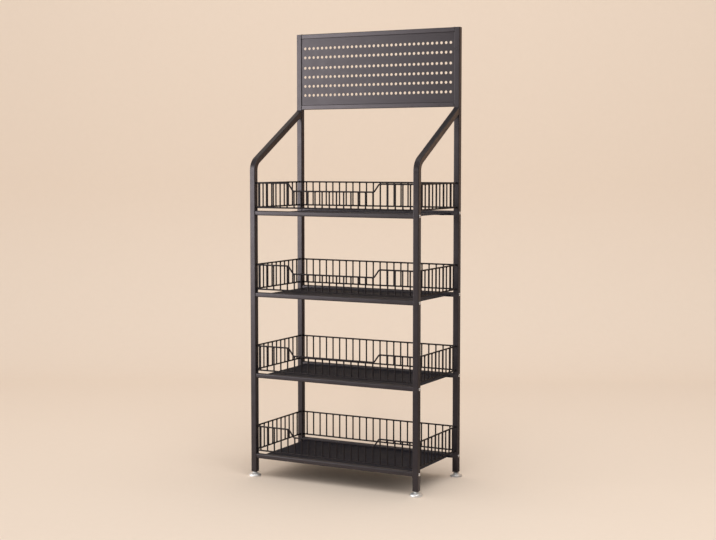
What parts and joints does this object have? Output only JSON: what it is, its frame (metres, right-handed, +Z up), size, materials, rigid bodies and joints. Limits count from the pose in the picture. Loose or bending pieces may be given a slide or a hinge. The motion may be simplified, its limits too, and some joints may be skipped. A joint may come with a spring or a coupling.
{
  "type": "snack display rack",
  "caption": "Free-standing black metal display rack with wire-fenced shelves dipping at the front, raked front posts, a perforated header and levelling feet.",
  "frame": {"origin": "on the floor under the middle of the rack", "axes": "+Z up, -Y towards the front that shoppers face, +X to the right seen from the front"},
  "size_m": [0.6202, 0.3382, 1.4485],
  "materials": {
    "frame_black": "satin black powder coat",
    "panel_black": "satin black powder coat",
    "bar_black": "satin black powder coat",
    "deck_black": "satin black powder coat",
    "wire_black": "satin black powder coat",
    "nut_steel": "zinc plated",
    "screw_chrome": "bright plated",
    "plug_plastic": "moulded black",
    "foot_chrome": "polished",
    "stem_steel": "zinc plated"
  },
  "bodies": {
    "rack": {"left_front_post": "frame_black", "right_front_post": "frame_black", "left_rear_post": "frame_black", "right_rear_post": "frame_black", "header_top_rail": "frame_black", "header_bottom_rail": "frame_black", "header_panel": "panel_black", "bottom_shelf_front_bar": "bar_black", "bottom_shelf_rear_bar": "bar_black", "bottom_shelf_deck": "deck_black", "bottom_fence_front_top_wire": "wire_black", "bottom_fence_long_wires": "wire_black", "bottom_fence_side_wires": "wire_black", "bottom_fence_front_uprights": "wire_black", "bottom_fence_rear_uprights": "wire_black", "bottom_fence_left_uprights": "wire_black", "bottom_fence_right_uprights": "wire_black", "lower_shelf_front_bar": "bar_black", "lower_shelf_rear_bar": "bar_black", "lower_shelf_deck": "deck_black", "lower_fence_front_top_wire": "wire_black", "lower_fence_long_wires": "wire_black", "lower_fence_side_wires": "wire_black", "lower_fence_front_uprights": "wire_black", "lower_fence_rear_uprights": "wire_black", "lower_fence_left_uprights": "wire_black", "lower_fence_right_uprights": "wire_black", "upper_shelf_front_bar": "bar_black", "upper_shelf_rear_bar": "bar_black", "upper_shelf_deck": "deck_black", "upper_fence_front_top_wire": "wire_black", "upper_fence_long_wires": "wire_black", "upper_fence_side_wires": "wire_black", "upper_fence_front_uprights": "wire_black", "upper_fence_rear_uprights": "wire_black", "upper_fence_left_uprights": "wire_black", "upper_fence_right_uprights": "wire_black", "top_shelf_front_bar": "bar_black", "top_shelf_rear_bar": "bar_black", "top_shelf_deck": "deck_black", "top_fence_front_top_wire": "wire_black", "top_fence_long_wires": "wire_black", "top_fence_side_wires": "wire_black", "top_fence_front_uprights": "wire_black", "top_fence_rear_uprights": "wire_black", "top_fence_left_uprights": "wire_black", "top_fence_right_uprights": "wire_black", "bar_end_nuts": "nut_steel", "shelf_screws": "screw_chrome", "post_end_plugs": "plug_plastic", "leg_inserts": "plug_plastic"},
    "left_front_foot": {"left_front_foot_pad": "foot_chrome", "left_front_foot_stem": "stem_steel"},
    "left_rear_foot": {"left_rear_foot_pad": "foot_chrome", "left_rear_foot_stem": "stem_steel"},
    "right_front_foot": {"right_front_foot_pad": "foot_chrome", "right_front_foot_stem": "stem_steel"},
    "right_rear_foot": {"right_rear_foot_pad": "foot_chrome", "right_rear_foot_stem": "stem_steel"}
  },
  "joints": [
    {"name": "left_front_foot_height", "type": "slide", "parent": "rack", "child": "left_front_foot", "axis": [0, 0, -1], "range_m": [0, 0.015]},
    {"name": "left_rear_foot_height", "type": "slide", "parent": "rack", "child": "left_rear_foot", "axis": [0, 0, -1], "range_m": [0, 0.015]},
    {"name": "right_front_foot_height", "type": "slide", "parent": "rack", "child": "right_front_foot", "axis": [0, 0, -1], "range_m": [0, 0.015]},
    {"name": "right_rear_foot_height", "type": "slide", "parent": "rack", "child": "right_rear_foot", "axis": [0, 0, -1], "range_m": [0, 0.015]}
  ]
}
